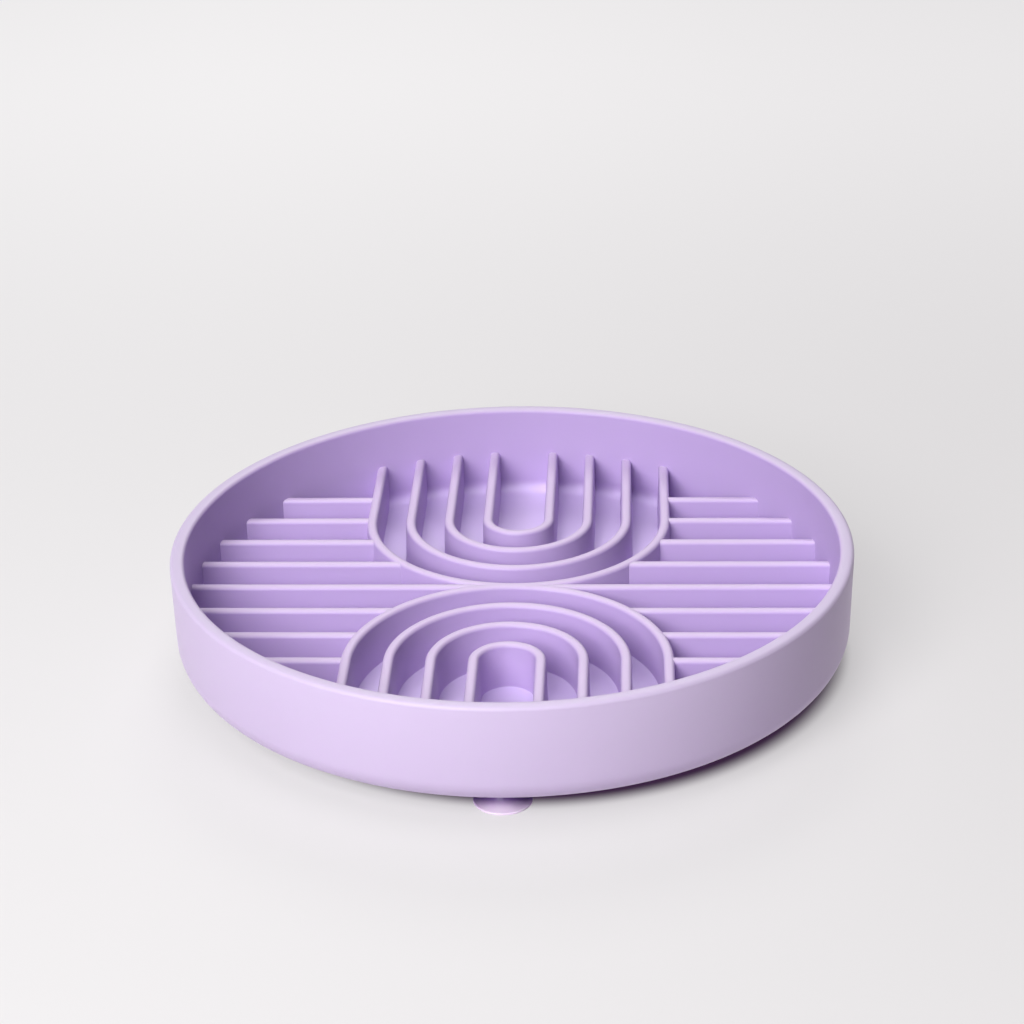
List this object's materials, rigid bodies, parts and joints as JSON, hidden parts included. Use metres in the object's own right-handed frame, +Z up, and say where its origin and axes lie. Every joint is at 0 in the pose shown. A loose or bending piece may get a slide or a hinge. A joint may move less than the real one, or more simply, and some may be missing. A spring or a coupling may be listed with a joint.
{
  "type": "lick mat",
  "caption": "Round shallow silicone tray with a maze of straight and nested looped ribs for spreading soft food, standing on push-in suction cups.",
  "frame": {"origin": "centre of the circle that the suction cups' lips stand on, on the supporting surface", "axes": "+Z up out of the bowl; +Y from the arches at the front to the loops at the back; +X to the right along the straight ribs"},
  "size_m": [0.2, 0.2, 0.0376],
  "materials": {
    "tray_silicone": "matt moulded silicone, lilac",
    "cup_silicone": "thin glossy silicone, lilac, slightly translucent"
  },
  "bodies": {
    "tray": {"tray": "tray_silicone", "loop_ribs_back": "tray_silicone", "loop_ribs_front": "tray_silicone", "straight_ribs_right": "tray_silicone", "straight_ribs_left": "tray_silicone"},
    "cup_front": {"suction_cup_front": "cup_silicone"},
    "cup_right": {"suction_cup_right": "cup_silicone"},
    "cup_back": {"suction_cup_back": "cup_silicone"},
    "cup_left": {"suction_cup_left": "cup_silicone"}
  },
  "joints": [
    {"name": "cup_front_pull", "type": "slide", "parent": "tray", "child": "cup_front", "axis": [0, 0, -1], "range_m": [0, 0.0044]},
    {"name": "cup_right_pull", "type": "slide", "parent": "tray", "child": "cup_right", "axis": [0, 0, -1], "range_m": [0, 0.0044]},
    {"name": "cup_back_pull", "type": "slide", "parent": "tray", "child": "cup_back", "axis": [0, 0, -1], "range_m": [0, 0.0044]},
    {"name": "cup_left_pull", "type": "slide", "parent": "tray", "child": "cup_left", "axis": [0, 0, -1], "range_m": [0, 0.0044]}
  ]
}
